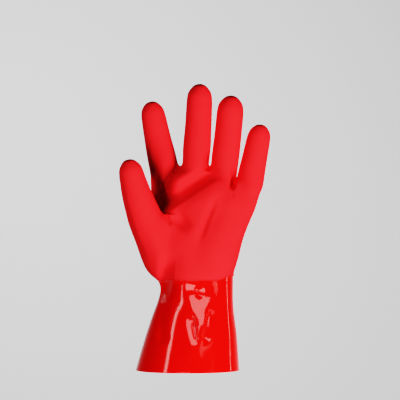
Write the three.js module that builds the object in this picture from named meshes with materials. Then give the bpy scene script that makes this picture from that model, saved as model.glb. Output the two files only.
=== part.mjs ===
// A gauntlet work glove for the left hand: a knitted former dipped in smooth PVC, with a second coat of
// sand-finish PVC over the hand. Both walls are hollow and open, from the hem up into each finger. One
// smooth skin is worked out from tables of sections, then parted at the sand coat's edge into the coated
// hand and the smooth gauntlet cuff.
import * as THREE from "three";

// Driving dimensions, in millimetres. +X runs from the thumb to the little finger, -Y is the palm's side
// and +Z points to the fingertips. The origin is the centre of the hem, where the hand goes in.
const CUFF_LENGTH = 95; // hem to the sand coat's edge
const HEM_WIDTH = 110;
const HEM_DEPTH = 96;
const WRIST_WIDTH = 76.8;
const WRIST_DEPTH = 58;
const WRIST_SHIFT = 9.9; // how far the wrist lies towards the little finger
const PALM_LENGTH = 121; // sand coat's edge to the web of the middle finger
const PALM_WIDTH = 117; // across the roots of the spread fingers
const PALM_DEPTH = 60; // through the heel of the hand
const PALM_FULLNESS = 2.3; // exponent of the palm's oval: 2 is an ellipse
const FINGER_LENGTH = 84; // middle finger, web to tip
const FINGER_WIDTH = 28;
const FINGER_DEPTH = 25;
const WEB_GAP = 2; // between two fingers at their roots
const WEB_DROP = 6; // how far a web slopes down to the palm and to the back
const THUMB_LENGTH = 88;
const THUMB_WIDTH = 27.6;
const THUMB_DEPTH = 26;
const TIP_ROUNDNESS = 1.2; // height of a fingertip's dome over its half width
const HAND_WALL = 1.8; // knit, smooth PVC and sand coat
const COAT_STEP = 0.4; // the sand coat stands this proud of the smooth cuff
const COAT_GAP = 0.3; // between the coated hand and the cuff
const CUFF_WALL = HAND_WALL - COAT_STEP;

// Cuff sections from the hem up. up is a share of the cuff's length, flare goes from the wrist's size at 0
// to the hem's at 1, and shift is a share of the wrist's shift.
const CUFF_SECTIONS = [
  { up: 0, flare: 1, shift: 0 },
  { up: 0.2, flare: 0.8, shift: 0.2 },
  { up: 0.43, flare: 0.55, shift: 0.45 },
  { up: 0.66, flare: 0.23, shift: 0.68 },
  { up: 0.87, flare: 0, shift: 1 },
  { up: 1, flare: 0.13, shift: 0.81 },
];

// Palm sections from the sand coat's edge up. up is a share of the palm's length, left and right of its
// width, front and back of its depth. follow moves a section's points from an even, level oval at 0 to the
// spacing and heights of the finger roots at 1. setback is how far a finger's place behind or before the
// others shows, pocket the depth of the hollow below the index finger as a share of the palm's depth, and
// groove, where a row has one, how far the hollows between the fingers show.
const PALM_SECTIONS = [
  { up: 0.08, left: -0.372, right: 0.425, front: 0.55, back: 0.47, follow: 0.15, setback: 0, pocket: 0 },
  { up: 0.25, left: -0.39, right: 0.465, front: 0.53, back: 0.45, follow: 0.3, setback: 0, pocket: 0 },
  { up: 0.41, left: -0.37, right: 0.503, front: 0.49, back: 0.42, follow: 0.45, setback: 0.1, pocket: 0 },
  { up: 0.53, left: -0.335, right: 0.545, front: 0.42, back: 0.38, follow: 0.6, setback: 0.2, pocket: 0.08 },
  { up: 0.61, left: -0.333, right: 0.575, front: 0.39, back: 0.36, follow: 0.7, setback: 0.4, pocket: 0.19 },
  { up: 0.71, left: -0.33, right: 0.615, front: 0.36, back: 0.34, follow: 0.8, setback: 0.5, pocket: 0.24 },
  { up: 0.84, left: -0.335, right: 0.65, front: 0.3, back: 0.3, follow: 0.95, setback: 1, pocket: 0.08,
    groove: 0.3 },
];

// How far each of the index finger's three columns on the palm's side takes its setback and the pocket. The
// first is next to the thumb, and the third is the ridge between the pocket and the palm.
const INDEX_COLUMNS = [
  { setback: 1, pocket: 0.4 },
  { setback: 1, pocket: 1 },
  { setback: 0.2, pocket: 0 },
];

// The fingers from the index to the little finger. across is a share of the palm's width from the thumb's
// side, back and forward moves are shares of the finger's depth, rise is a share of the finger length, root
// and tip are shares of the finger width, and lean, bow and curl are shares of the finger's own rise.
const FINGERS = [
  { name: "index", across: 0.121, back: 0.46, rise: 0.845, root: 1.15,
    tip: 0.925, lean: -0.2, bow: -0.008, curl: 0.14 },
  { name: "middle", across: 0.402, back: 0, rise: 0.995, root: 1.08,
    tip: 0.965, lean: 0.056, bow: 0.008, curl: 0.19 },
  { name: "ring", across: 0.655, back: 0, rise: 0.92, root: 1.06,
    tip: 1.01, lean: 0.104, bow: 0.008, curl: 0.23 },
  { name: "little", across: 0.89, back: 0.04, rise: 0.705, root: 1.05,
    tip: 0.89, lean: 0.2, bow: 0, curl: 0.25 },
];
const INDEX_EDGE = -0.33; // the palm's thumb side at the finger roots, as a share of its width
// Heights of the index finger's outer side, the three webs and the little finger's outer side.
const WEBS = [0.92, 1, 1, 0.9, 0.8];
const SHAFT = [0.2, 0.45, 0.72, 1]; // a finger's rings, as shares of its length below the dome
const DOME = [
  { rise: 0.5, size: 0.85 },
  { rise: 0.86, size: 0.49 },
];

// The thumb's axis. Its root is placed in shares of the palm, and its bend and tip follow in shares of its
// length.
const THUMB_ROOT = { across: -0.29, forward: 0.14, up: 0.34 };
const THUMB_BEND = { left: 0.235, forward: 0.318, up: 0.5 };
const THUMB_TIP = { left: 0.301, forward: 0.386, up: 0.96 };
const THUMB_SECTIONS = [
  { along: 0.34, width: 1.33, depth: 1.3 },
  { along: 0.48, width: 1.24, depth: 1.2 },
  { along: 0.62, width: 1.17, depth: 1.12 },
  { along: 0.8, width: 1.06, depth: 1.03 },
  { along: 1, width: 0.93, depth: 0.93 },
];
const THUMB_BLEND = 0.5; // of a ring between the palm and the first section
const THUMB_ROWS = 4; // palm sections that the thumb grows from
const THUMB_COLUMNS = 6;
const THUMB_TURN = 48; // degrees that its columns turn round its axis, to lead straight to the palm's

// Creases, hollows and knuckles of the hand, between two points: on the palm at side -1, on the back at
// side 1. across is a share of the palm's width, up of its length, and width and height are shares of the
// palm's depth.
const HAND_RELIEF = [
  { side: -1, from: { across: -0.16, up: 0.64 }, to: { across: 0.26, up: 0.9 }, width: 0.13, height: -0.065 },
  { side: -1, from: { across: 0.35, up: 0.78 }, to: { across: 0.1, up: 0.27 }, width: 0.13, height: -0.04 },
  { side: -1, from: { across: -0.08, up: 0.5 }, to: { across: 0.02, up: 0.44 }, width: 0.3, height: -0.05 },
  { side: -1, from: { across: -0.1, up: 0.94 }, to: { across: -0.15, up: 0.72 }, width: 0.15, height: 0.04 },
  { side: -1, from: { across: -0.13, up: 0.13 }, to: { across: -0.18, up: -0.03 }, width: 0.15, height: -0.07 },
  { side: 1, from: { across: -0.2, up: 0.86 }, to: { across: -0.18, up: 0.8 }, width: 0.17, height: 0.03 },
  { side: 1, from: { across: 0.07, up: 0.89 }, to: { across: 0.07, up: 0.82 }, width: 0.17, height: 0.045 },
  { side: 1, from: { across: 0.32, up: 0.85 }, to: { across: 0.31, up: 0.79 }, width: 0.16, height: 0.04 },
  { side: 1, from: { across: 0.54, up: 0.74 }, to: { across: 0.52, up: 0.69 }, width: 0.15, height: 0.03 },
];

// Folds of the cuff's PVC, on the palm side at side -1 and the back at 1. across is a share of the wrist's
// width from its middle, up of the cuff's length, and width and height are shares of the wrist's depth.
const CUFF_FOLDS = [
  { side: -1, from: { across: -0.2, up: 0.9 }, to: { across: 0.14, up: 0.5 }, width: 0.13, height: 0.035 },
  { side: -1, from: { across: 0.3, up: 0.9 }, to: { across: -0.05, up: 0.25 }, width: 0.13, height: 0.035 },
  { side: 1, from: { across: -0.3, up: 0.9 }, to: { across: 0.1, up: 0.45 }, width: 0.15, height: 0.04 },
  { side: 1, from: { across: 0.3, up: 0.85 }, to: { across: 0.1, up: 0.2 }, width: 0.15, height: 0.035 },
];

const FINGER_SIDES = 8;
const ROW_POINTS = 3 * FINGERS.length; // points on the palm's side of a section, three for each finger
const COLUMNS = 2 * ROW_POINTS + 2; // and as many on the back, with one at each edge
const LEFT_EDGE = ROW_POINTS + 1; // column of the thumb side's edge
const FIT_ROUNDS = 8;
const lerp = THREE.MathUtils.lerp;
const vec = (x, y, z) => new THREE.Vector3(x, y, z);

// One quad surface: points, faces as four point numbers, and the piece that each face belongs to.
function makeSkin() {
  return { points: [], faces: [], pieces: [] };
}

function addPoints(skin, points) {
  return points.map((p) => skin.points.push(p) - 1);
}

function addFace(skin, corners, piece) {
  skin.faces.push(corners);
  skin.pieces.push(piece);
}

// Quads between two rings of point numbers that run the same way round, the upper one further out.
function addBand(skin, lower, upper, piece, skip = () => false) {
  lower.forEach((point, i) => {
    const next = (i + 1) % lower.length;
    if (!skip(i)) addFace(skin, [point, lower[next], upper[next], upper[i]], piece);
  });
}

// Quads that close an even ring round one point.
function addCap(skin, ring, pole, piece) {
  const [top] = addPoints(skin, [pole]);
  for (let i = 0; i < ring.length; i += 2) {
    addFace(skin, [ring[i], ring[i + 1], ring[(i + 2) % ring.length], top], piece);
  }
}

// Where a finger starts, and the two webs beside it.
function fingerRoot(finger, number) {
  const left = WEBS[number];
  const right = WEBS[number + 1];
  const base = vec(
    (INDEX_EDGE + finger.across) * PALM_WIDTH,
    finger.back * FINGER_DEPTH,
    CUFF_LENGTH + ((left + right) / 2) * PALM_LENGTH,
  );
  return { base, tilt: ((right - left) / 2) * PALM_LENGTH };
}

// The eight points round a finger's root, from its little-finger side over the back to the palm.
function rootRing(finger, number) {
  const { base, tilt } = fingerRoot(finger, number);
  const halfWidth = (finger.root * FINGER_WIDTH - WEB_GAP) / 2;
  const halfDepth = (finger.root * FINGER_DEPTH) / 2;
  return Array.from({ length: FINGER_SIDES }, (_, i) => {
    const angle = (i / FINGER_SIDES) * 2 * Math.PI;
    const side = Math.cos(angle);
    const lift = tilt * side - WEB_DROP * Math.abs(Math.sin(angle));
    return vec(base.x + halfWidth * side, base.y + halfDepth * Math.sin(angle), base.z + lift);
  });
}

const ROOT_RINGS = FINGERS.map(rootRing);

// A finger's points on the palm's row and on the back's row, from the index to the little finger.
const rootFront = ROOT_RINGS.flatMap((ring) => [ring[5], ring[6], ring[7]]);
const rootBack = ROOT_RINGS.flatMap((ring) => [ring[3], ring[2], ring[1]]);
const rootLeft = ROOT_RINGS[0][4];
const rootRight = ROOT_RINGS[FINGERS.length - 1][0];
const rootHeight = rootFront.reduce((total, point) => total + point.z, 0) / rootFront.length;

// The points round one section, counter-clockwise from above: right edge, back, left edge, front.
function sectionRing(section) {
  const { z, left, right, front, back, follow = 0, groove = 0, setback = 0, pocket = 0, fullness = 2 } = section;
  const bulge = (u) => (1 - Math.abs(2 * u - 1) ** fullness) ** (1 / fullness);
  const height = (point) => z + follow * (point.z - rootHeight);
  const row = (root, depth) =>
    root.map((point, i) => {
      const even = (1 - Math.cos(((i + 1) / (ROW_POINTS + 1)) * Math.PI)) / 2;
      const u = lerp(even, (point.x - rootLeft.x) / (rootRight.x - rootLeft.x), follow);
      const share = (root === rootFront && INDEX_COLUMNS[i]) || { setback: 1, pocket: 0 };
      const behind = share.setback * setback * FINGERS[Math.floor(i / 3)].back * FINGER_DEPTH;
      const y = depth * bulge(u) + behind + share.pocket * pocket * PALM_DEPTH;
      return vec(lerp(left, right, u), lerp(y, point.y, groove), height(point));
    });
  const frontRow = row(rootFront, -front);
  const backRow = row(rootBack, back).reverse();
  const edge = (x, point) => vec(x, setback * point.y, height(point));
  return [edge(right, rootRight), ...backRow, edge(left, rootLeft), ...frontRow];
}

function cuffRing({ up, flare, shift }) {
  const halfWidth = lerp(WRIST_WIDTH, HEM_WIDTH, flare) / 2;
  const halfDepth = lerp(WRIST_DEPTH, HEM_DEPTH, flare) / 2;
  const middle = shift * WRIST_SHIFT;
  return sectionRing({
    z: up * CUFF_LENGTH,
    left: middle - halfWidth,
    right: middle + halfWidth,
    front: halfDepth,
    back: halfDepth,
  });
}

function palmRing({ up, left, right, front, back, ...shape }) {
  return sectionRing({
    ...shape,
    z: CUFF_LENGTH + up * PALM_LENGTH,
    left: left * PALM_WIDTH,
    right: right * PALM_WIDTH,
    front: front * PALM_DEPTH,
    back: back * PALM_DEPTH,
    fullness: PALM_FULLNESS,
  });
}

// Rings along a bent axis. angles run counter-clockwise from above, from the side that right points to.
function limbRings(axis, rightHint, angles, sections, halfWidth, halfDepth) {
  const length = axis.getLength();
  const tipWidth = sections[sections.length - 1].width * halfWidth;
  const domeHeight = TIP_ROUNDNESS * tipWidth;
  const shaft = 1 - domeHeight / length;
  const last = sections[sections.length - 1];
  const stations = [
    ...sections.map(({ along, width, depth }) => ({ at: along * shaft, width, depth })),
    ...DOME.map(({ rise, size }) => ({
      at: lerp(shaft, 1, rise),
      width: last.width * size,
      depth: last.depth * size,
    })),
  ];
  const rings = stations.map(({ at, width, depth }) => {
    const centre = axis.getPointAt(at);
    const forward = axis.getTangentAt(at);
    const back = forward.clone().cross(rightHint).normalize();
    const right = back.clone().cross(forward);
    return angles.map((angle) =>
      centre
        .clone()
        .addScaledVector(right, Math.cos(angle) * width * halfWidth)
        .addScaledVector(back, Math.sin(angle) * depth * halfDepth),
    );
  });
  return { rings, pole: axis.getPointAt(1) };
}

function addLimb(skin, rootNumbers, { rings, pole }, piece) {
  let lower = rootNumbers;
  for (const ring of rings) {
    const upper = addPoints(skin, ring);
    addBand(skin, lower, upper, piece);
    lower = upper;
  }
  addCap(skin, lower, pole, piece);
}

function fingerRings(finger, number) {
  const { base } = fingerRoot(finger, number);
  const rise = finger.rise * FINGER_LENGTH;
  const tip = base.clone().add(vec(finger.lean * rise, -finger.curl * rise, rise));
  const middle = base.clone().lerp(tip, 0.5);
  middle.x += 2 * finger.bow * rise;
  middle.y = lerp(base.y, tip.y, 0.2); // the curl is in the outer half
  const axis = new THREE.QuadraticBezierCurve3(base, middle, tip);
  const angles = Array.from({ length: FINGER_SIDES }, (_, i) => (i / FINGER_SIDES) * 2 * Math.PI);
  const sections = SHAFT.map((along) => {
    const size = lerp(finger.root, finger.tip, along);
    return { along, width: size, depth: size };
  });
  return limbRings(axis, vec(1, 0, 0), angles, sections, FINGER_WIDTH / 2, FINGER_DEPTH / 2);
}

function thumbRings(sides) {
  const root = vec(
    THUMB_ROOT.across * PALM_WIDTH,
    -THUMB_ROOT.forward * PALM_DEPTH,
    CUFF_LENGTH + THUMB_ROOT.up * PALM_LENGTH,
  );
  const point = ({ left, forward, up }) =>
    root.clone().addScaledVector(vec(-left, -forward, up), THUMB_LENGTH);
  const axis = new THREE.QuadraticBezierCurve3(root, point(THUMB_BEND), point(THUMB_TIP));
  const step = (2 * Math.PI) / sides;
  const first = THREE.MathUtils.degToRad(THUMB_TURN) - Math.PI / 2 - ((THUMB_ROWS - 1) / 2) * step;
  const angles = Array.from({ length: sides }, (_, i) => first + i * step);
  return limbRings(axis, vec(1, 0, 0), angles, THUMB_SECTIONS, THUMB_WIDTH / 2, THUMB_DEPTH / 2);
}

// The control mesh of the whole glove, with each point where the finished skin passes.
function gloveTargets() {
  const skin = makeSkin();
  const cuffRows = CUFF_SECTIONS.map((section) => addPoints(skin, cuffRing(section)));
  const palmRows = PALM_SECTIONS.map((section) => addPoints(skin, palmRing(section)));
  const rootNumbers = ROOT_RINGS.map((ring) => addPoints(skin, ring));
  const front = rootNumbers.flatMap((ring) => [ring[5], ring[6], ring[7]]);
  const back = rootNumbers.flatMap((ring) => [ring[3], ring[2], ring[1]]).reverse();
  const topRow = [rootNumbers[FINGERS.length - 1][0], ...back, rootNumbers[0][4], ...front];

  cuffRows.slice(1).forEach((row, i) => addBand(skin, cuffRows[i], row, "cuff"));
  const handRows = [cuffRows[cuffRows.length - 1], ...palmRows, topRow];
  const thumbStart = LEFT_EDGE - 1;
  const inThumb = (column) => column >= thumbStart && column < thumbStart + THUMB_COLUMNS - 1;
  handRows.slice(1).forEach((row, i) => {
    const besideThumb = i >= 1 && i < THUMB_ROWS;
    addBand(skin, handRows[i], row, "hand", (column) => besideThumb && inThumb(column));
  });

  rootNumbers.slice(1).forEach((ring, i) => {
    const before = rootNumbers[i];
    addFace(skin, [before[7], ring[5], ring[4], before[0]], "hand");
    addFace(skin, [before[0], ring[4], ring[3], before[1]], "hand");
  });
  FINGERS.forEach((finger, i) => addLimb(skin, rootNumbers[i], fingerRings(finger, i), "hand"));

  const thumbRows = palmRows.slice(0, THUMB_ROWS);
  const columns = Array.from({ length: THUMB_COLUMNS }, (_, i) => thumbStart + i);
  const thumbLoop = [
    ...thumbRows.map((row) => row[columns[THUMB_COLUMNS - 1]]),
    ...columns.slice(1, -1).reverse().map((column) => thumbRows[THUMB_ROWS - 1][column]),
    ...thumbRows.map((row) => row[columns[0]]).reverse(),
    ...columns.slice(1, -1).map((column) => thumbRows[0][column]),
  ];
  const thumb = thumbRings(thumbLoop.length);
  thumb.rings.unshift(thumb.rings[0].map((p, i) => skin.points[thumbLoop[i]].clone().lerp(p, THUMB_BLEND)));
  addLimb(skin, thumbLoop, thumb, "hand");
  return dropUnused(skin);
}

// The same skin without the points that no face uses, such as those under the thumb's root.
function dropUnused(skin) {
  const numbers = new Map();
  const faces = skin.faces.map((face) =>
    face.map((point) => {
      if (!numbers.has(point)) numbers.set(point, numbers.size);
      return numbers.get(point);
    }),
  );
  const points = [];
  numbers.forEach((number, point) => (points[number] = skin.points[point]));
  return { points, faces, pieces: skin.pieces };
}

// Each edge of a skin, with its ends and the faces beside it.
function edgesOf(skin) {
  const edges = new Map();
  skin.faces.forEach((face, f) => {
    face.forEach((a, i) => {
      const b = face[(i + 1) % face.length];
      const key = Math.min(a, b) + "_" + Math.max(a, b);
      if (!edges.has(key)) edges.set(key, { key, a, b, faces: [] });
      edges.get(key).faces.push(f);
    });
  });
  return edges;
}

function sum(points) {
  return points.reduce((total, p) => total.add(p), vec(0, 0, 0));
}

// For each point: the points across its edges, the far corners of its faces, and its neighbours on an open
// edge.
function neighboursOf(skin) {
  const around = skin.points.map(() => ({ across: [], corners: [], rim: [] }));
  for (const { a, b, faces } of edgesOf(skin).values()) {
    around[a].across.push(b);
    around[b].across.push(a);
    if (faces.length === 1) {
      around[a].rim.push(b);
      around[b].rim.push(a);
    }
  }
  skin.faces.forEach((face) => face.forEach((p, i) => around[p].corners.push(face[(i + 2) % 4])));
  return around;
}

// Where each control point ends up on the endlessly divided Catmull-Clark surface.
function limitPoints(skin, around = neighboursOf(skin)) {
  return skin.points.map((p, i) => {
    const { across, corners, rim } = around[i];
    const at = (numbers) => sum(numbers.map((n) => skin.points[n]));
    if (rim.length) return at(rim).addScaledVector(p, 4).divideScalar(6);
    const n = across.length;
    return at(across)
      .multiplyScalar(4)
      .add(at(corners))
      .addScaledVector(p, n * n)
      .divideScalar(n * (n + 5));
  });
}

// Moves the control points until the finished surface passes through the targets.
function fitted(skin) {
  const around = neighboursOf(skin);
  const targets = skin.points;
  let points = targets.map((p) => p.clone());
  for (let round = 0; round < FIT_ROUNDS; round++) {
    const reached = limitPoints({ ...skin, points }, around);
    points = points.map((p, i) => p.clone().add(targets[i]).sub(reached[i]));
  }
  return { ...skin, points };
}

// One Catmull-Clark division. Old points keep their numbers, then come face points and edge points.
function divided(skin) {
  const facePoints = skin.faces.map((face) => sum(face.map((p) => skin.points[p])).divideScalar(4));
  const around = neighboursOf(skin);
  const facesAt = skin.points.map(() => []);
  skin.faces.forEach((face, f) => face.forEach((p) => facesAt[p].push(f)));
  const edgeNumbers = new Map();
  const edgePoints = [];
  for (const { key, a, b, faces } of edgesOf(skin).values()) {
    const ends = skin.points[a].clone().add(skin.points[b]);
    edgeNumbers.set(key, skin.points.length + facePoints.length + edgePoints.length);
    const inner = faces.length === 2;
    if (inner) ends.add(sum(faces.map((f) => facePoints[f])));
    edgePoints.push(ends.divideScalar(inner ? 4 : 2));
  }
  const corners = skin.points.map((p, i) => {
    const { across, rim } = around[i];
    if (rim.length) return sum(rim.map((n) => skin.points[n])).addScaledVector(p, 6).divideScalar(8);
    const n = across.length;
    const middles = sum(across.map((other) => skin.points[other].clone().add(p))).divideScalar(n);
    const faceMean = sum(facesAt[i].map((f) => facePoints[f])).divideScalar(n);
    return faceMean.add(middles).addScaledVector(p, n - 3).divideScalar(n);
  });
  const result = { points: [...corners, ...facePoints, ...edgePoints], faces: [], pieces: [] };
  const edgeNumber = (a, b) => edgeNumbers.get(Math.min(a, b) + "_" + Math.max(a, b));
  skin.faces.forEach((face, f) => {
    face.forEach((p, i) => {
      const after = edgeNumber(p, face[(i + 1) % 4]);
      const before = edgeNumber(face[(i + 3) % 4], p);
      addFace(result, [p, after, skin.points.length + f, before], skin.pieces[f]);
    });
  });
  return result;
}

function normalsOf(skin) {
  const normals = skin.points.map(() => vec(0, 0, 0));
  for (const face of skin.faces) {
    const [a, b, c, d] = face.map((p) => skin.points[p]);
    const across = c.clone().sub(a).cross(d.clone().sub(b));
    face.forEach((p) => normals[p].add(across));
  }
  return normals.map((n) => n.normalize());
}

// How near a point is to the line between two others, seen from the palm: 1 on it, fading to 0 over a
// width.
function nearness(p, from, to, width) {
  const line = new THREE.Line3(vec(from.x, 0, from.z), vec(to.x, 0, to.z));
  const flat = vec(p.x, 0, p.z);
  const distance = line.closestPointToPoint(flat, true, vec(0, 0, 0)).distanceTo(flat);
  return Math.exp(-((distance / width) ** 2));
}

// How far the skin moves out along its normal for the hand's creases and the cuff's folds.
function relief(p, normal) {
  const palmPoint = ({ across, up }) => vec(across * PALM_WIDTH, 0, CUFF_LENGTH + up * PALM_LENGTH);
  const cuffPoint = ({ across, up }) => vec(WRIST_SHIFT + across * WRIST_WIDTH, 0, up * CUFF_LENGTH);
  const facing = (side) => Math.max(0, side * normal.y);
  let out = 0;
  for (const { side, from, to, width, height } of HAND_RELIEF) {
    const near = nearness(p, palmPoint(from), palmPoint(to), width * PALM_DEPTH);
    out += height * PALM_DEPTH * facing(side) * near;
  }
  for (const { side, from, to, width, height } of CUFF_FOLDS) {
    const near = nearness(p, cuffPoint(from), cuffPoint(to), width * WRIST_DEPTH);
    out += height * WRIST_DEPTH * facing(side) * near;
  }
  return out;
}

// The finished outer skin, one division finer than its control mesh and moved onto the limit surface.
function gloveSkin() {
  const skin = divided(fitted(gloveTargets()));
  skin.points = limitPoints(skin);
  const normals = normalsOf(skin);
  skin.points.forEach((p, i) => p.addScaledVector(normals[i], relief(p, normals[i])));
  return skin;
}

// The closed wall of one piece: its outer faces, the same faces turned in by the wall, and its flat rims.
function wallOf(skin, piece, sink, wall) {
  const kept = skin.faces.filter((_, f) => skin.pieces[f] === piece);
  const edges = [...edgesOf({ faces: kept }).values()].filter(({ faces }) => faces.length === 1);
  const rimHeights = new Map();
  const coatEdge = piece === "hand" ? CUFF_LENGTH + COAT_GAP / 2 : CUFF_LENGTH - COAT_GAP / 2;
  for (const { a, b } of edges) {
    const hem = skin.points[a].z < CUFF_LENGTH / 2;
    rimHeights.set(a, hem ? 0 : coatEdge);
    rimHeights.set(b, hem ? 0 : coatEdge);
  }
  const normals = normalsOf(skin);
  const layer = (depth) =>
    skin.points.map((p, i) => {
      if (!rimHeights.has(i)) return p.clone().addScaledVector(normals[i], -depth);
      const level = vec(normals[i].x, normals[i].y, 0).normalize();
      return p.clone().addScaledVector(level, -depth).setZ(rimHeights.get(i));
    });
  const outer = layer(sink);
  const inner = layer(sink + wall);
  const positions = [];
  const addTriangle = (...corners) => corners.forEach((p) => positions.push(p.x, p.y, p.z));
  const addQuad = (a, b, c, d) => {
    addTriangle(a, b, c);
    addTriangle(a, c, d);
  };
  for (const [a, b, c, d] of kept) {
    addQuad(outer[a], outer[b], outer[c], outer[d]);
    addQuad(inner[a], inner[d], inner[c], inner[b]);
  }
  for (const { a, b } of edges) addQuad(outer[b], outer[a], inner[a], inner[b]);
  return new THREE.BufferGeometry().setAttribute("position", new THREE.Float32BufferAttribute(positions, 3));
}

function addPiece(group, name, geometry, material) {
  const mesh = new THREE.Mesh(geometry, material);
  mesh.geometry.computeVertexNormals();
  mesh.name = name;
  group.add(mesh);
}

const sandFinishPvc = new THREE.MeshStandardMaterial({ color: 0xe02428, roughness: 0.75, metalness: 0 });
const smoothPvc = new THREE.MeshStandardMaterial({ color: 0xd80e0c, roughness: 0.15, metalness: 0 });

const skin = gloveSkin();
const glove = new THREE.Group();
addPiece(glove, "coated_hand", wallOf(skin, "hand", 0, HAND_WALL), sandFinishPvc);
addPiece(glove, "gauntlet_cuff", wallOf(skin, "cuff", COAT_STEP, CUFF_WALL), smoothPvc);

export default glove;
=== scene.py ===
"""A PVC coated work glove in its worn shape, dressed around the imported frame.

The hand has a matte sand finish that ends in a thin lip at the wrist. Below it the gauntlet
cuff is bare glossy PVC, creased where it was folded. A knitted cotton liner shows inside.
Lengths are in metres, +Z up, with the palm facing -Y and the hem's centre at the origin.
"""

import logging
import math
from collections import defaultdict
from collections.abc import Sequence
from dataclasses import dataclass, field, fields
from enum import Enum
from typing import ClassVar

import bmesh
import bpy
import numpy as np
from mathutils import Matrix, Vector
from mathutils.bvhtree import BVHTree
from mathutils.kdtree import KDTree


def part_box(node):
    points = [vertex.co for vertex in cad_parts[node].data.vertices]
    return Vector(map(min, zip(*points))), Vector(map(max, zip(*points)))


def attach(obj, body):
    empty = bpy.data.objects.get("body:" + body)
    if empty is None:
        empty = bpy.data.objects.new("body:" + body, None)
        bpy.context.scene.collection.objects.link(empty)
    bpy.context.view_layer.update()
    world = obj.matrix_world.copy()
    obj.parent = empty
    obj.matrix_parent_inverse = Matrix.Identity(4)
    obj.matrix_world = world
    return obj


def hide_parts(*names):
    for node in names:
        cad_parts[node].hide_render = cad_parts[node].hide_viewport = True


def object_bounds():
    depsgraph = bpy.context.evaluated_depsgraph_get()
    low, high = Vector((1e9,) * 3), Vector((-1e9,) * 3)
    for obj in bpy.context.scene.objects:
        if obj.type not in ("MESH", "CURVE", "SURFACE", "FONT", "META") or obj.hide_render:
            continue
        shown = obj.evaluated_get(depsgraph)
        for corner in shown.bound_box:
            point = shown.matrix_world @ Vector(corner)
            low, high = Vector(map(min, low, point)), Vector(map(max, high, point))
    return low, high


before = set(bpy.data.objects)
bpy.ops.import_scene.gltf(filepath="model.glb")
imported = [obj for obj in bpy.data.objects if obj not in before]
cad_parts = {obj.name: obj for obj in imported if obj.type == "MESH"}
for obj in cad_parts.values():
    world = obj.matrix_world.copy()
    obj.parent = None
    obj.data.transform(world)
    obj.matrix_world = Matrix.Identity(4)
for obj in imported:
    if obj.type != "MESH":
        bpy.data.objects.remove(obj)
cad_low, cad_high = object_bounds()

LOG = logging.getLogger("work_glove")
MM = 0.001


class Skin(Enum):
    """Which face of the glove's wall a polygon belongs to, as a material index."""

    OUTER = 0
    LINING = 1


class Side(Enum):
    """The side of the glove that a fold is pressed into, as the sign of its outward Y."""

    PALM = -1.0
    BACK = 1.0


def smoothstep(share: np.ndarray) -> np.ndarray:
    """Ease a share from 0 to 1, flat at both ends."""
    share = np.clip(share, 0.0, 1.0)
    return share * share * (3.0 - 2.0 * share)


def linear_rgb(colour: str) -> tuple[float, float, float, float]:
    """Turn an sRGB hex colour into the linear colour that shaders take.

    Args:
        colour: six hex digits, such as "e02428".

    Returns:
        Linear red, green, blue and an alpha of 1.
    """
    def linear(byte: int) -> float:
        """Undo the sRGB curve for one channel."""
        value = byte / 255.0
        return value / 12.92 if value <= 0.04045 else ((value + 0.055) / 1.055) ** 2.4

    red, green, blue = bytes.fromhex(colour)
    return linear(red), linear(green), linear(blue), 1.0


def add_node(tree: bpy.types.NodeTree, kind: str, settings: dict | None = None,
             links: dict | None = None) -> bpy.types.Node:
    """Add one node to a tree, set it up and wire its inputs.

    Args:
        tree: the node tree that gets the node.
        kind: the node's Blender type name.
        settings: node attributes by name, and input values by socket name or number.
        links: output sockets by the name or number of the input that they feed.

    Returns:
        The new node.
    """
    node = tree.nodes.new(kind)
    for key, value in (settings or {}).items():
        if isinstance(key, str) and hasattr(node, key):
            setattr(node, key, value)
        else:
            node.inputs[key].default_value = value
    for key, socket in (links or {}).items():
        tree.links.new(socket, node.inputs[key])
    return node


@dataclass(frozen=True)
class Finish:
    """What every finish of the glove shares: an empty material and its shader."""

    name: str
    colour: str
    roughness: float
    ior: float = 1.52

    def begin(self) -> tuple[bpy.types.Material, bpy.types.NodeTree, bpy.types.Node]:
        """Make the material with a principled shader.

        Returns:
            The material, its node tree and the shader node.
        """
        material = bpy.data.materials.new(self.name)
        material.use_nodes = True
        tree = material.node_tree
        tree.nodes.clear()
        shader = add_node(tree, "ShaderNodeBsdfPrincipled", {
            "Base Color": linear_rgb(self.colour), "Roughness": self.roughness, "IOR": self.ior})
        add_node(tree, "ShaderNodeOutputMaterial", links={"Surface": shader.outputs["BSDF"]})
        return material, tree, shader


@dataclass(frozen=True)
class SandFinishPvc(Finish):
    """Plasticised PVC dipped a second time and dusted with grit: matte, soft-looking, faintly
    mottled, with no clear reflection."""

    name: str = "sand_finish_pvc"
    colour: str = "ec2a2d"
    deep_colour: str = "e42528"
    roughness: float = 0.8
    specular: float = 0.18
    grit: float = 0.55 * MM  # the real grit is nearer 0.2 mm; drawn coarser so that it shows
    grit_height: float = 0.035 * MM
    mottle: float = 14 * MM  # size of the patches between the two colours

    def build(self) -> bpy.types.Material:
        """Build the matte coat's material."""
        material, tree, shader = self.begin()
        shader.inputs["Specular IOR Level"].default_value = self.specular
        place = add_node(tree, "ShaderNodeTexCoord").outputs["Object"]
        mottle = add_node(tree, "ShaderNodeTexNoise",
                          {"Scale": 1.0 / self.mottle, "Detail": 4.0, "Roughness": 0.6}, {"Vector": place})
        tint = add_node(tree, "ShaderNodeMix", {
            "data_type": "RGBA", 6: linear_rgb(self.deep_colour), 7: linear_rgb(self.colour)},
            {0: mottle.outputs["Fac"]})
        grit = add_node(tree, "ShaderNodeTexNoise",
                        {"Scale": 1.0 / self.grit, "Detail": 2.0, "Roughness": 0.5}, {"Vector": place})
        bump = add_node(tree, "ShaderNodeBump", {"Strength": 1.0, "Distance": self.grit_height},
                        {"Height": grit.outputs["Fac"]})
        tree.links.new(tint.outputs[2], shader.inputs["Base Color"])
        tree.links.new(bump.outputs["Normal"], shader.inputs["Normal"])
        return material


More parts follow.
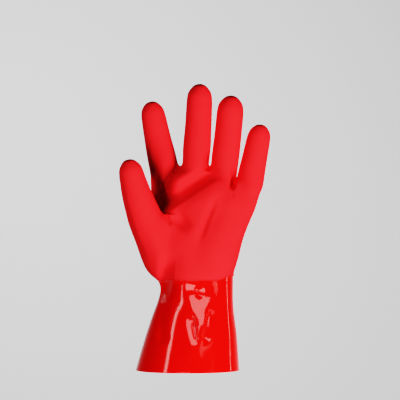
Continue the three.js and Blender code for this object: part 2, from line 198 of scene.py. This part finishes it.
@dataclass(frozen=True)
class GlossPvc(Finish):
    """Bare dipped PVC: a wet-looking gloss over clear red, with the faint waves that a thick
    dip leaves as it runs."""

    name: str = "smooth_pvc"
    colour: str = "e01008"
    roughness: float = 0.09
    wave: float = 9 * MM  # size of the waves in the gloss
    wave_height: float = 0.05 * MM

    def build(self) -> bpy.types.Material:
        """Build the glossy coat's material."""
        material, tree, shader = self.begin()
        place = add_node(tree, "ShaderNodeTexCoord").outputs["Object"]
        wave = add_node(tree, "ShaderNodeTexNoise",
                        {"Scale": 1.0 / self.wave, "Detail": 1.0}, {"Vector": place})
        bump = add_node(tree, "ShaderNodeBump", {"Strength": 1.0, "Distance": self.wave_height},
                        {"Height": wave.outputs["Fac"]})
        tree.links.new(bump.outputs["Normal"], shader.inputs["Normal"])
        return material


@dataclass(frozen=True)
class CottonInterlock(Finish):
    """Unbleached cotton interlock, knitted: a dull off-white with fine upright ribs."""

    bands: ClassVar[float] = 3.18  # bands per metre that a wave texture draws at a scale of 1

    name: str = "cotton_liner"
    colour: str = "d9d2c4"
    roughness: float = 0.95
    wale: float = 1.6 * MM  # the real ribs are about 1 mm apart; drawn coarser so that they show
    knit_height: float = 0.25 * MM

    def build(self) -> bpy.types.Material:
        """Build the liner's material, whose knit follows the mesh attribute named knit."""
        material, tree, shader = self.begin()
        place = add_node(tree, "ShaderNodeAttribute", {"attribute_name": "knit"}).outputs["Vector"]
        ribs, rows = (add_node(tree, "ShaderNodeTexWave", {
            "bands_direction": way, "Scale": 1.0 / self.wale / self.bands, "Distortion": 0.6},
            {"Vector": place}).outputs["Fac"] for way in "XY")
        knit = add_node(tree, "ShaderNodeMath", {"operation": "MULTIPLY"}, {0: ribs, 1: rows})
        bump = add_node(tree, "ShaderNodeBump", {"Strength": 0.8, "Distance": self.knit_height},
                        {"Height": knit.outputs[0]})
        tree.links.new(bump.outputs["Normal"], shader.inputs["Normal"])
        return material


@dataclass(frozen=True)
class StudioPaper(Finish):
    """Seamless grey background paper: flat and matte."""

    name: str = "studio_paper"
    colour: str = "dcdcde"
    roughness: float = 0.9

    def build(self) -> bpy.types.Material:
        """Build the paper's material."""
        return self.begin()[0]


class Wall(Enum):
    """How one wall of a fold rises from its route to the surface beside it."""

    SOFT = "rounded at both ends"
    CRISP = "straight, with a sharp shoulder"

    def rise(self, share: np.ndarray) -> np.ndarray:
        """Turn the share of the wall's reach that is left into the share of its depth."""
        return np.clip(share, 0.0, 1.0) if self is Wall.CRISP else smoothstep(share)


@dataclass(frozen=True)
class Fold:
    """A valley pressed into one side of the glove, across both of its pieces.

    Attributes:
        route: its lowest line as (across, up), shares of the width and height of the whole glove.
        depth: how far the surface sinks along the route, negative for a ridge.
        left: reach of the wall on the viewer's left, where the route runs up.
        right: reach of the wall on the viewer's right.
        left_wall: how the wall on the left rises.
        right_wall: how the wall on the right rises.
        behind: share of the glove's depth, from the palm's side, that it keeps behind.
        through: whether the far side moves with it, as where a finger's root rolls over.
        start: share of the length over which the fold's lower end fades out.
        end: share of the length over which its upper end fades out.
    """

    mask_edge: ClassVar[float] = 5 * MM  # depth over which behind takes hold

    route: Sequence[tuple[float, float]]
    depth: float
    left: float
    right: float
    left_wall: Wall = Wall.SOFT
    right_wall: Wall = Wall.SOFT
    behind: float = 0.0
    through: bool = False
    start: float = 0.35
    end: float = 0.35

    def displace(self, places: np.ndarray, low: Vector, high: Vector) -> np.ndarray:
        """Work out how far each point sinks.

        Args:
            places: the points, as rows of X, Y and Z.
            low: the lowest corner of the glove's box.
            high: its highest corner.

        Returns:
            The inward displacement of each point.
        """
        across, depths, up = places.T
        span = high - low
        stops = [np.array((low.x + a * span.x, low.z + u * span.z)) for a, u in self.route]
        lengths = [float(np.linalg.norm(b - a)) for a, b in zip(stops, stops[1:])]
        total = sum(lengths)
        nearest = np.full(across.shape, np.inf)
        leftward = np.zeros(across.shape, dtype=bool)
        travelled = np.zeros(across.shape)
        before = 0.0
        for start, end, length in zip(stops, stops[1:], lengths):
            along = (end - start) / length
            x, z = across - start[0], up - start[1]
            reach = np.clip(x * along[0] + z * along[1], 0.0, length)
            gap = np.hypot(x - reach * along[0], z - reach * along[1])
            closer = gap < nearest
            nearest = np.where(closer, gap, nearest)
            leftward = np.where(closer, z * along[0] > x * along[1], leftward)
            travelled = np.where(closer, before + reach, travelled)
            before += length
        left = self.left_wall.rise(1.0 - nearest / self.left)
        right = self.right_wall.rise(1.0 - nearest / self.right)
        depth = np.where(leftward, left, right)
        if self.behind:
            depth = depth * smoothstep((depths - low.y - self.behind * span.y) / self.mask_edge)
        for fade, gone in ((self.start, travelled), (self.end, total - travelled)):
            if fade:
                depth = depth * smoothstep(gone / (fade * total))
        return self.depth * depth


@dataclass(frozen=True)
class CoatEdge:
    """How the coat's edge rises toward the little finger's side, where the dip ran unevenly.

    Attributes:
        rise: how far it rises.
        start: where it starts to, as a share of the glove's width.
        end: where it has risen in full.
        reach: how far above and below the edge the skin is drawn along.
    """

    rise: float = 4.5 * MM
    start: float = 0.641
    end: float = 0.745
    reach: float = 14 * MM

    def lift(self, places: np.ndarray) -> None:
        """Raise the points near the edge, in place."""
        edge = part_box("coated_hand")[0].z
        across = (places[:, 0] - cad_low.x) / (cad_high.x - cad_low.x)
        near = np.exp(-((places[:, 2] - edge) / self.reach) ** 2)
        places[:, 2] += self.rise * near * smoothstep((across - self.start) / (self.end - self.start))


class GloveSkin:
    """A smooth copy of a frame node, cut into its outer skin, lining and rims."""

    thickness = 1.8 * MM  # of the hand's wall, the thicker of the two
    sliver = 0.3 * MM  # least room left for a fold, and how far off its rim's height a corner may lie
    merge = 0.001 * MM  # distance below which the frame's loose corners are one
    flattest = math.radians(70)  # sharpest bend between two triangles that make a quad
    squarest = math.radians(90)  # largest difference from a square corner in such a quad
    sharp = math.radians(55)  # bend from which an edge is shaded sharp
    turned = 0.35  # how squarely a vertex must face a side to take its folds in full
    level = 0.98  # upright part of the normal past which a face is taken for a rim

    def __init__(self, node: str, name: str, levels: int) -> None:
        """Copy the node's mesh, join its triangles to quads and subdivide it.

        Args:
            node: the frame node's name.
            name: the new piece's name.
            levels: rounds of subdivision.
        """
        self.node = node
        self.low, self.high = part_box(node)
        self.rims = [self.low.z] if node == "coated_hand" else [self.low.z, self.high.z]
        self.piece = self._subdivided(self._cage(), name, levels)
        places = self.places()
        near = [np.abs(places[:, 2] - height) < self.sliver for height in self.rims]
        self.on_edge = near[0]
        self.on_rims = np.any(near, axis=0)
        CoatEdge().lift(places)
        self._move(places)

    def _cage(self) -> bpy.types.Mesh:
        """Merge the node's loose triangles into a mesh of quads with its skins marked."""
        cage = bmesh.new()
        cage.from_mesh(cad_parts[self.node].data)
        bmesh.ops.remove_doubles(cage, verts=cage.verts, dist=self.merge)
        bmesh.ops.join_triangles(cage, faces=cage.faces, angle_face_threshold=self.flattest,
                                 angle_shape_threshold=self.squarest)
        cage.faces.ensure_lookup_table()
        rims = {face for face in cage.faces if self._on_rim(face)}
        crease = cage.edges.layers.float.new("crease_edge")
        for edge in cage.edges:
            if sum(face in rims for face in edge.link_faces) == 1:
                edge[crease] = 1.0
        for face in self._inside(cage, rims):
            face.material_index = Skin.LINING.value
        mesh = bpy.data.meshes.new(self.node + "_cage")
        cage.to_mesh(mesh)
        cage.free()
        return mesh

    def _on_rim(self, face: bmesh.types.BMFace) -> bool:
        """Tell whether a face lies flat in one of the node's rims."""
        return any(all(abs(v.co.z - height) < self.sliver for v in face.verts) for height in self.rims)

    @staticmethod
    def _inside(cage: bmesh.types.BMesh, rims: set) -> set:
        """Find the faces of the lining, the smaller of the two skins that the rims part."""
        left = {face for face in cage.faces if face not in rims}
        skins = []
        while left:
            patch, queue = set(), [next(iter(left))]
            while queue:
                face = queue.pop()
                if face in left:
                    left.remove(face)
                    patch.add(face)
                    queue.extend(n for e in face.edges for n in e.link_faces if n in left)
            skins.append(patch)
        return min(skins, key=lambda patch: sum(face.calc_area() for face in patch))

    @staticmethod
    def _subdivided(mesh: bpy.types.Mesh, name: str, levels: int) -> bpy.types.Object:
        """Subdivide a cage and keep the result as a plain mesh object."""
        cage = bpy.data.objects.new(name + "_cage", mesh)
        bpy.context.scene.collection.objects.link(cage)
        smooth = cage.modifiers.new("smooth", "SUBSURF")
        smooth.levels = smooth.render_levels = levels
        depsgraph = bpy.context.evaluated_depsgraph_get()
        fine = bpy.data.meshes.new_from_object(cage.evaluated_get(depsgraph))
        fine.name = name
        bpy.data.objects.remove(cage)
        piece = bpy.data.objects.new(name, fine)
        bpy.context.scene.collection.objects.link(piece)
        return piece

    def places(self) -> np.ndarray:
        """Read the piece's vertices as rows of X, Y and Z."""
        flat = np.empty(len(self.piece.data.vertices) * 3)
        self.piece.data.vertices.foreach_get("co", flat)
        return flat.reshape(-1, 3)

    def _move(self, places: np.ndarray) -> None:
        """Put the piece's vertices at new places."""
        self.piece.data.vertices.foreach_set("co", places.ravel())
        self.piece.data.update()

    def edge_loop(self, name: str, out: float) -> bpy.types.Object:
        """Copy the line where the outer skin meets the lower opening's rim.

        Args:
            name: the new object's name.
            out: how far outside the skin the line is set.

        Returns:
            An object of bare edges.
        """
        mesh = self.piece.data
        beside = defaultdict(list)
        for polygon in mesh.polygons:
            if polygon.material_index == Skin.OUTER.value:
                on_rim = bool(self.on_edge[list(polygon.vertices)].all())
                for ends in polygon.edge_keys:
                    if self.on_edge[list(ends)].all():
                        beside[ends].append(on_rim)
        loop = [ends for ends, sides in beside.items() if sorted(sides) == [False, True]]
        corners = sorted({vertex for ends in loop for vertex in ends})
        order = {vertex: number for number, vertex in enumerate(corners)}
        stops = []
        for vertex in corners:
            outward = mesh.vertex_normals[vertex].vector * Vector((1.0, 1.0, 0.0))
            stops.append(mesh.vertices[vertex].co + outward.normalized() * out)
        line = bpy.data.meshes.new(name)
        line.from_pydata(stops, [(order[a], order[b]) for a, b in loop], [])
        edge = bpy.data.objects.new(name, line)
        bpy.context.scene.collection.objects.link(edge)
        return edge

    def _lining(self) -> np.ndarray:
        """Mark the vertices of the lining."""
        mesh = self.piece.data
        inner = np.zeros(len(mesh.vertices), dtype=bool)
        for polygon in mesh.polygons:
            if polygon.material_index == Skin.LINING.value:
                inner[list(polygon.vertices)] = True
        return inner

    def _room(self, side: Side, movable: np.ndarray, inner: np.ndarray) -> np.ndarray:
        """Measure how far vertices can sink before they near the far side of the glove.

        Args:
            side: the side that they sink from.
            movable: the vertices to measure.
            inner: the vertices of the lining.

        Returns:
            The room of each vertex, and a sliver for the others.
        """
        mesh = self.piece.data
        skins = [tuple(p.vertices) for p in mesh.polygons
                 if p.material_index == Skin.OUTER.value and abs(p.normal.z) < self.level]
        outer = BVHTree.FromPolygons([v.co for v in mesh.vertices], skins)
        inward = Vector((0.0, -side.value, 0.0))
        room = np.full(len(mesh.vertices), self.sliver)
        for index in np.flatnonzero(movable):
            reach = outer.ray_cast(mesh.vertices[index].co + inward * self.sliver, inward)[3]
            if reach is not None:
                walls = self.thickness * (1 if inner[index] else 2)
                room[index] = max(reach - walls - self.sliver, self.sliver)
        return room

    def _carry_rims(self, sink: np.ndarray, places: np.ndarray) -> None:
        """Sink each vertex of a rim as far as the nearest one of the skins beside it.

        Args:
            sink: how far each vertex sinks, changed in place.
            places: the vertices.
        """
        skins = np.flatnonzero(~self.on_rims)
        tree = KDTree(len(skins))
        for index in skins:
            tree.insert(places[index], index)
        tree.balance()
        for index in np.flatnonzero(self.on_rims):
            sink[index] = sink[tree.find(places[index])[1]]

    def press(self, side: Side, folds: Sequence[Fold]) -> None:
        """Press folds into one side of the wall, both of its skins together.

        Args:
            side: the side that they are pressed into.
            folds: the folds.
        """
        mesh = self.piece.data
        places = self.places()
        inner = self._lining()
        normals = np.empty(len(mesh.vertices) * 3)
        mesh.vertex_normals.foreach_get("vector", normals)
        facing = normals.reshape(-1, 3)[:, 1] * np.where(inner, -1.0, 1.0) * side.value
        weight = smoothstep(facing / self.turned)
        rolled, sink = (sum(fold.displace(places, cad_low, cad_high)
                            for fold in folds if fold.through is through) for through in (True, False))
        sink = sink * weight
        room = self._room(side, sink > self.sliver, inner)
        sink = np.where(sink > 0.0, room * (1.0 - np.exp(-sink / room)), sink)
        self._carry_rims(sink, places)
        places[:, 1] -= side.value * (sink + rolled)
        self._move(places)

    def finish(self, coat: bpy.types.Material, lining: bpy.types.Material) -> None:
        """Dress the skins, shade them smoothly and hang the piece in the frame.

        Args:
            coat: the outer skin's material.
            lining: the inner skin's material.
        """
        mesh = self.piece.data
        mesh.materials.clear()
        mesh.materials.append(coat)
        mesh.materials.append(lining)
        places = self.places()
        radius = (self.high.x - self.low.x) / 2
        knit = np.stack([np.arctan2(places[:, 0], -places[:, 1]) * radius, places[:, 2],
                         np.zeros(len(places))], axis=1)
        mesh.attributes.new("knit", "FLOAT_VECTOR", "POINT").data.foreach_set("vector", knit.ravel())
        mesh.shade_smooth()
        mesh.set_sharp_from_angle(angle=self.sharp)
        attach(self.piece, "root")
        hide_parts(self.node)
        LOG.info("%s: %d polygons", self.piece.name, len(mesh.polygons))


@dataclass
class WornFolds:
    """The folds of the worn glove's palm side, from the fingers' roots to the cuff."""

    beside_index: ClassVar = ((0.198, 0.571), (0.178, 0.665), (0.158, 0.770))  # along the finger's root

    palm_crease: Fold = Fold(((0.318, 0.592), (0.438, 0.635), (0.525, 0.665), (0.605, 0.690),
                              (0.664, 0.707)), 11 * MM, 12 * MM, 10.5 * MM, right_wall=Wall.CRISP,
                             start=0, end=0.3)
    heel_crease: Fold = Fold(((0.511, 0.427), (0.585, 0.536), (0.658, 0.623)),
                             3 * MM, 8 * MM, 4.5 * MM, right_wall=Wall.CRISP)
    index_fold: Fold = Fold(((0.312, 0.649), (0.341, 0.681), (0.385, 0.725)),
                            7 * MM, 2.5 * MM, 4 * MM, end=0.1)
    index_roll: Fold = Fold(beside_index, 6 * MM, 14 * MM, 20 * MM, behind=0.38, through=True,
                            start=0.1, end=0.6)
    index_root: Fold = Fold(beside_index, 5 * MM, 12 * MM, 20 * MM, behind=0.38, start=0, end=0.6)
    pocket_edge: Fold = Fold(((0.328, 0.567), (0.325, 0.630), (0.338, 0.672)),
                             6 * MM, 6 * MM, 13 * MM, behind=0.2)
    pocket: Fold = Fold(((0.289, 0.550), (0.268, 0.599), (0.242, 0.644), (0.218, 0.700)),
                        12 * MM, 9 * MM, 9 * MM, behind=0.38, end=0.5)
    pocket_tail: Fold = Fold(((0.345, 0.505), (0.298, 0.556)), 4.5 * MM, 4 * MM, 3 * MM)
    palm_hollow: Fold = Fold(((0.371, 0.497), (0.451, 0.543)), 4.5 * MM, 15 * MM, 15 * MM)
    wrist_groove: Fold = Fold(((0.262, 0.235), (0.299, 0.315), (0.318, 0.406)),
                              10 * MM, 10 * MM, 9 * MM, right_wall=Wall.CRISP, start=0.35, end=0.4)
    middle_web: Fold = Fold(((0.575, 0.693), (0.585, 0.777)),
                            14 * MM, 4.5 * MM, 6 * MM, start=0.2, end=0.5)
    ring_web: Fold = Fold(((0.734, 0.630), (0.758, 0.725)),
                          16 * MM, 3 * MM, 6 * MM, Wall.CRISP, start=0.2, end=0.5)
    ring_tail: Fold = Fold(((0.758, 0.602), (0.738, 0.641)), 1.5 * MM, 3 * MM, 2 * MM)
    thumb_side: Fold = Fold(((0.158, 0.357), (0.058, 0.462), (-0.008, 0.578), (-0.041, 0.700)),
                            7 * MM, 6 * MM, 11 * MM, right_wall=Wall.CRISP)
    cuff_ridge: Fold = Fold(((0.282, 0.119), (0.275, 0.175), (0.292, 0.217), (0.310, 0.270),
                             (0.323, 0.322)), 1.8 * MM, 9 * MM, 8.4 * MM, right_wall=Wall.CRISP,
                            start=0, end=0.15)
    neck_notch: Fold = Fold(((0.528, 0.249), (0.525, 0.301)),
                            1.5 * MM, 4.5 * MM, 6 * MM, Wall.CRISP, Wall.CRISP)
    right_pleat: Fold = Fold(((0.561, 0.123), (0.595, 0.224)),
                             3.2 * MM, 3 * MM, 8 * MM, right_wall=Wall.CRISP, start=0)
    left_pleat: Fold = Fold(((0.508, 0.123), (0.478, 0.207)),
                            1.2 * MM, 8 * MM, 2.5 * MM, Wall.CRISP, start=0)
    left_slit: Fold = Fold(((0.498, 0.123), (0.475, 0.175)), 0.7 * MM, 2 * MM, 2 * MM, start=0)

    def all(self) -> list[Fold]:
        """List the folds."""
        return [getattr(self, entry.name) for entry in fields(self)]


@dataclass
class CoatLip:
    """The thin lip that the dip leaves along the coat's edge.

    Attributes:
        radius: of its round section.
        out: how far outside the hand's skin the section's centre runs.
        sides: corners of the section.
    """

    radius: float = 0.45 * MM
    out: float = 0.15 * MM
    sides: int = 10

    def build(self, hand: GloveSkin, coat: bpy.types.Material) -> None:
        """Run the lip along the hand's lower edge and hang it in the frame.

        Args:
            hand: the dressed hand.
            coat: its material.
        """
        lip = hand.edge_loop("coat_lip", self.out)
        modifier = lip.modifiers.new("lip", "NODES")
        modifier.node_group = self._tree()
        sockets = {item.name: item.identifier for item in modifier.node_group.interface.items_tree}
        for name, value in (("Radius", self.radius), ("Sides", self.sides), ("Coat", coat)):
            modifier[sockets[name]] = value
        depsgraph = bpy.context.evaluated_depsgraph_get()
        mesh = bpy.data.meshes.new_from_object(lip.evaluated_get(depsgraph))
        lip.modifiers.clear()
        lip.data = mesh
        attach(lip, "root")
        LOG.info("%s: %d polygons", lip.name, len(mesh.polygons))

    @staticmethod
    def _tree() -> bpy.types.NodeTree:
        """Build the node tree that sweeps a round section along a loop of edges."""
        tree = bpy.data.node_groups.new("coat_lip", "GeometryNodeTree")
        kinds = {"Loop": "Geometry", "Radius": "Float", "Sides": "Int", "Coat": "Material"}
        for name, kind in kinds.items():
            tree.interface.new_socket(name, in_out="INPUT", socket_type="NodeSocket" + kind)
        tree.interface.new_socket("Lip", in_out="OUTPUT", socket_type="NodeSocketGeometry")
        given = add_node(tree, "NodeGroupInput").outputs
        path = add_node(tree, "GeometryNodeMeshToCurve", links={"Mesh": given["Loop"]})
        section = add_node(tree, "GeometryNodeCurvePrimitiveCircle",
                           links={"Resolution": given["Sides"], "Radius": given["Radius"]})
        tube = add_node(tree, "GeometryNodeCurveToMesh",
                        links={"Curve": path.outputs[0], "Profile Curve": section.outputs[0]})
        smooth = add_node(tree, "GeometryNodeSetShadeSmooth", links={0: tube.outputs[0]})
        real = add_node(tree, "GeometryNodeRealizeInstances", links={0: smooth.outputs[0]})
        dressed = add_node(tree, "GeometryNodeSetMaterial",
                           links={"Geometry": real.outputs[0], "Material": given["Coat"]})
        add_node(tree, "NodeGroupOutput", links={"Lip": dressed.outputs[0]})
        return tree


@dataclass
class CoatedHand:
    """The sand-finish hand: four fingers, thumb and palm down to the coat's edge."""

    levels: int = 2

    def build(self, folds: WornFolds, lining: bpy.types.Material) -> None:
        """Build the hand and hang it in the frame."""
        skin = GloveSkin("coated_hand", "sand_finish_hand", self.levels)
        skin.press(Side.PALM, folds.all())
        coat = SandFinishPvc().build()
        skin.finish(coat, lining)
        CoatLip().build(skin, coat)


@dataclass
class GauntletCuff:
    """The bare glossy cuff, from under the coat's edge to the hem."""

    levels: int = 3

    def build(self, folds: WornFolds, lining: bpy.types.Material) -> None:
        """Build the cuff and hang it in the frame."""
        skin = GloveSkin("gauntlet_cuff", "glossy_cuff", self.levels)
        skin.press(Side.PALM, folds.all())
        skin.finish(GlossPvc().build(), lining)


@dataclass(frozen=True)
class Softbox:
    """A rectangular studio light that looks at the glove.

    Attributes:
        name: the light's name.
        azimuth: degrees round from straight in front, positive to the camera's right.
        elevation: degrees above the height that it looks at.
        distance: from the point that it looks at.
        width: of its face.
        height: of its face.
        power: in watts.
        lights: whether it lights the glove, and isn't only a card for the glossy PVC to mirror.
        mirrored: whether the glossy PVC shows its reflection.
    """

    name: str
    azimuth: float
    elevation: float
    distance: float
    width: float
    height: float
    power: float
    lights: bool = True
    mirrored: bool = True

    def place(self, target: Vector) -> None:
        """Hang the light and turn it to its target."""
        light = bpy.data.lights.new(self.name, "AREA")
        light.shape = "RECTANGLE"
        light.size, light.size_y, light.energy = self.width, self.height, self.power
        turn, rise = math.radians(self.azimuth), math.radians(self.elevation)
        away = Vector((math.sin(turn) * math.cos(rise), -math.cos(turn) * math.cos(rise), math.sin(rise)))
        lamp = bpy.data.objects.new(self.name, light)
        lamp.location = target + away * self.distance
        lamp.rotation_euler = away.to_track_quat("Z", "Y").to_euler()
        lamp.visible_glossy = self.mirrored
        lamp.visible_diffuse = self.lights
        bpy.context.scene.collection.objects.link(lamp)


@dataclass
class Studio:
    """The camera at the photograph's viewing angle, pale seamless paper and soft lights."""

    frame_pixels: int = 400
    pixel: float = 1.05 * MM  # real size of a pixel at the glove
    axis_column: float = 187.5  # pixel column of the hem's centre
    hem_row: float = 370.0  # pixel row of the hem
    camera_distance: float = 2.4
    sensor: float = 36.0
    ambient: str = "8c8c90"  # colour of the light from all round
    ambient_strength: float = 0.12
    paper_drop: float = 0.9  # how far below the hem the paper lies
    paper_back: float = 1.4  # how far behind the glove it stands
    lights: Sequence[Softbox] = field(default_factory=lambda: [
        Softbox("key", 46, -20, 1.3, 0.5, 0.4, 33.5, mirrored=False),
        Softbox("fill", -28, -18, 1.3, 0.6, 0.45, 11, mirrored=False),
        Softbox("neck_card", -8, -15, 1.3, 0.55, 0.65, 4.4, lights=False),
        Softbox("right_card", 42, -8, 1.3, 0.5, 0.5, 1.0, lights=False),
        Softbox("front_card", 4, 26, 1.3, 0.75, 0.5, 4.0, lights=False),
        Softbox("left_strip", -46, 6, 1.2, 0.16, 1.1, 2.6, lights=False),
        Softbox("left_card", -114, 32, 1.3, 0.5, 0.5, 0.6, lights=False),
        Softbox("right_strip", 103, 6, 1.2, 0.05, 1.1, 0.8, lights=False),
    ])
    backdrop: Softbox = Softbox("backdrop", -28, 10, 1.1, 0.6, 0.6, 5.3, mirrored=False)

    def build(self) -> None:
        """Place the camera, paper and lights."""
        middle = self._aim()
        camera = bpy.data.cameras.new("camera")
        camera.sensor_width = self.sensor
        camera.lens = self.sensor * self.camera_distance / (self.frame_pixels * self.pixel)
        eye = bpy.data.objects.new("camera", camera)
        eye.location = middle + Vector((0.0, -self.camera_distance, 0.0))
        eye.rotation_euler = (math.radians(90), 0.0, 0.0)
        bpy.context.scene.collection.objects.link(eye)
        bpy.context.scene.camera = eye
        for light in self.lights:
            light.place(middle)
        self.backdrop.place(middle + Vector((0.0, self.paper_back, 0.0)))
        self._paper()
        world = bpy.data.worlds.new("studio")
        world.use_nodes = True
        backdrop = world.node_tree.nodes["Background"]
        backdrop.inputs["Color"].default_value = linear_rgb(self.ambient)
        backdrop.inputs["Strength"].default_value = self.ambient_strength
        bpy.context.scene.world = world
        view = bpy.context.scene.view_settings
        view.view_transform, view.look = "Filmic", "Very High Contrast"

    def _aim(self) -> Vector:
        """Find the point of the glove's plane at the middle of the photograph's frame."""
        half = self.frame_pixels / 2
        return Vector(((half - self.axis_column) * self.pixel, 0.0, (self.hem_row - half) * self.pixel))

    def _paper(self) -> None:
        """Sweep the paper from the floor up behind the glove."""
        wide, near, far, bend, top = 3.0, 0.2, self.paper_back, 0.7, 2.6
        steps = 24  # of the bend between floor and wall
        turn = [math.pi / 2 * i / steps for i in range(steps + 1)]
        profile = [(near, 0.0)]
        profile += [(far - bend + bend * math.sin(a), bend - bend * math.cos(a)) for a in turn]
        profile += [(far, top)]
        places = [(x, y, z - self.paper_drop) for y, z in profile for x in (-wide, wide)]
        strips = [(2 * i, 2 * i + 1, 2 * i + 3, 2 * i + 2) for i in range(len(profile) - 1)]
        mesh = bpy.data.meshes.new("studio_paper")
        mesh.from_pydata(places, [], strips)
        mesh.shade_smooth()
        mesh.materials.append(StudioPaper().build())
        paper = bpy.data.objects.new("studio_paper", mesh)
        bpy.context.scene.collection.objects.link(paper)
        paper.visible_diffuse = False  # it stands too far back to brighten the glove's edges


def main() -> None:
    """Build the studio and the glove."""
    logging.basicConfig(level=logging.INFO, format="%(name)s: %(message)s")
    Studio().build()
    lining = CottonInterlock().build()
    folds = WornFolds()
    CoatedHand().build(folds, lining)
    GauntletCuff().build(folds, lining)


if __name__ == "__main__":
    main()
